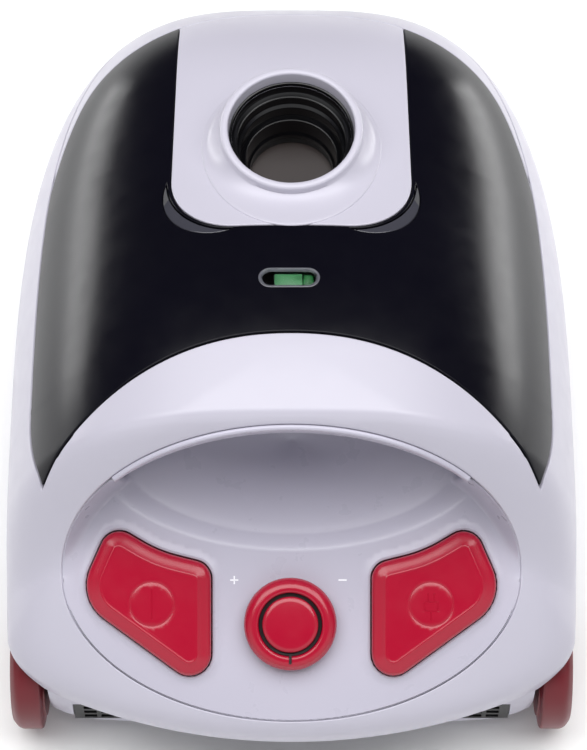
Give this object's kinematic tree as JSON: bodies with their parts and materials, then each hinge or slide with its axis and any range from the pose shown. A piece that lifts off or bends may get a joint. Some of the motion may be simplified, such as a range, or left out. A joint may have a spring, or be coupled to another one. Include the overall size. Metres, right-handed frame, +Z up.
{
  "type": "canister vacuum cleaner",
  "caption": "Compact bagged canister vacuum: domed hinged bag cover with hose inlet, carrying arch, sloped control panel, two rear wheels and a front caster.",
  "frame": {"origin": "on the floor, under the middle of the body", "axes": "+Y towards the hose inlet end, +X to the right seen from behind, +Z up"},
  "size_m": [0.272, 0.3775, 0.2048],
  "materials": {
    "shell_grey": "gloss moulded ABS, very light lilac grey",
    "hood_black": "piano black gloss moulding",
    "control_red": "satin gloss deep red moulding",
    "wheel_red": "satin dark red moulding",
    "inner_dark": "matt dark grey moulding",
    "inner_grey": "matt mid grey moulding",
    "grille_black": "matt black moulding",
    "rubber": "matt black rubber",
    "steel": "bright zinc plated steel",
    "motor_metal": "drawn sheet metal",
    "copper": "enamelled copper windings",
    "foam": "open cell foam",
    "filter_white": "pleated non-woven filter",
    "bag_paper": "non-woven paper bag",
    "bag_card": "brown-grey card",
    "holder_blue": "matt blue moulding",
    "board_green": "solder-masked circuit board",
    "window_clear": "clear polycarbonate",
    "flag_green": "satin green moulding"
  },
  "bodies": {
    "base": {"lower_housing": "shell_grey", "upper_housing": "shell_grey", "handle_liner": "shell_grey", "latch_catch": "inner_dark", "control_panel": "shell_grey", "bag_chamber": "inner_grey", "filter_grid": "grille_black", "motor_filter": "foam", "fan_housing": "motor_metal", "motor_can": "motor_metal", "motor_stator": "copper", "motor_front_seal": "rubber", "motor_rear_mount": "rubber", "reel_post": "steel", "reel_spring_case": "inner_grey", "cord_outlet_bush": "rubber", "exhaust_filter": "filter_white", "exhaust_grille": "grille_black", "parking_bracket": "shell_grey", "button_carrier": "inner_dark", "main_switch": "grille_black", "speed_control": "board_green", "power_button_spring": "steel", "rewind_button_spring": "steel", "rear_axles": "steel", "caster_socket": "inner_grey", "hinge_brackets": "shell_grey", "hinge_pins": "steel", "bag_holder": "holder_blue", "dust_bag": "bag_paper", "housing_screws": "steel"},
    "motor_rotor": {"motor_rotor": "steel", "impeller": "motor_metal"},
    "cord_reel": {"reel_drum": "inner_dark"},
    "reel_brake": {"reel_brake_lever": "inner_grey", "brake_roller": "rubber"},
    "power_button": {"power_button": "control_red"},
    "rewind_button": {"rewind_button": "control_red"},
    "power_dial": {"dial_ring": "control_red", "dial_cap": "control_red", "dial_spindle": "steel"},
    "rear_wheel_left": {"rear_wheel_left": "wheel_red", "hub_cap_left": "wheel_red"},
    "rear_wheel_right": {"rear_wheel_right": "wheel_red", "hub_cap_right": "wheel_red"},
    "caster": {"caster_fork": "inner_dark", "caster_axle": "steel"},
    "caster_wheel": {"caster_wheel": "rubber"},
    "bag_cover": {"hood": "hood_black", "inlet_panel": "shell_grey", "inlet_collar": "shell_grey", "inlet_seal": "rubber", "inlet_flap": "bag_card", "cover_frame": "inner_grey", "cover_gasket": "rubber", "cover_hinge_arms": "shell_grey", "window_lens": "window_clear", "latch_bracket": "inner_dark"},
    "indicator": {"indicator_flag": "flag_green"},
    "cover_latch": {"latch_lever": "inner_dark"}
  },
  "joints": [
    {"name": "cover_hinge", "type": "hinge", "parent": "base", "child": "bag_cover", "pos_m": [0, 0.16, 0.126], "axis": [-1, 0, 0], "range_deg": [0, 55]},
    {"name": "cover_latch", "type": "hinge", "parent": "bag_cover", "child": "cover_latch", "pos_m": [0, -0.052, 0.16], "axis": [-1, 0, 0], "range_deg": [0, 5], "stiffness_Nm_per_rad": 2, "springref_deg": -2.86},
    {"name": "bag_full_indicator", "type": "slide", "parent": "bag_cover", "child": "indicator", "axis": [1, 0, 0], "range_m": [0, 0.006], "stiffness_N_per_m": 10, "springref_m": -0.001},
    {"name": "power_button", "type": "slide", "parent": "base", "child": "power_button", "axis": [0, 0.4617, -0.887], "range_m": [0, 0.0035], "stiffness_N_per_m": 400, "springref_m": -0.003, "deforming": ["power_button_spring"]},
    {"name": "rewind_button", "type": "slide", "parent": "base", "child": "rewind_button", "axis": [0, 0.4617, -0.887], "range_m": [0, 0.0035], "stiffness_N_per_m": 400, "springref_m": -0.003, "deforming": ["rewind_button_spring"]},
    {"name": "reel_brake", "type": "hinge", "parent": "base", "child": "reel_brake", "pos_m": [0.05, -0.1323, 0.06], "axis": [0, 0, -1], "range_deg": [0, 8.5]},
    {"name": "power_dial", "type": "hinge", "parent": "base", "child": "power_dial", "pos_m": [-0.0005, -0.14402, 0.09281], "axis": [0, -0.4617, 0.887], "range_deg": [-125, 125]},
    {"name": "cord_reel", "type": "hinge", "parent": "base", "child": "cord_reel", "pos_m": [0.05, -0.086, 0.037], "axis": [0, 0, 1], "continuous": true},
    {"name": "motor_spin", "type": "hinge", "parent": "base", "child": "motor_rotor", "pos_m": [-0.056, -0.06, 0.069], "axis": [0, 1, 0], "continuous": true},
    {"name": "rear_wheel_left", "type": "hinge", "parent": "base", "child": "rear_wheel_left", "pos_m": [-0.1255, -0.1388, 0.031], "axis": [1, 0, 0], "continuous": true},
    {"name": "rear_wheel_right", "type": "hinge", "parent": "base", "child": "rear_wheel_right", "pos_m": [0.1255, -0.1388, 0.031], "axis": [1, 0, 0], "continuous": true},
    {"name": "caster_swivel", "type": "hinge", "parent": "base", "child": "caster", "pos_m": [0, 0.112, 0.036], "axis": [0, 0, 1], "continuous": true},
    {"name": "caster_roll", "type": "hinge", "parent": "caster", "child": "caster_wheel", "pos_m": [0, 0.098, 0.016], "axis": [1, 0, 0], "continuous": true}
  ],
  "couplings": [
    {"joint": "reel_brake", "follows": "rewind_button", "rad_per_m": 39.9}
  ]
}
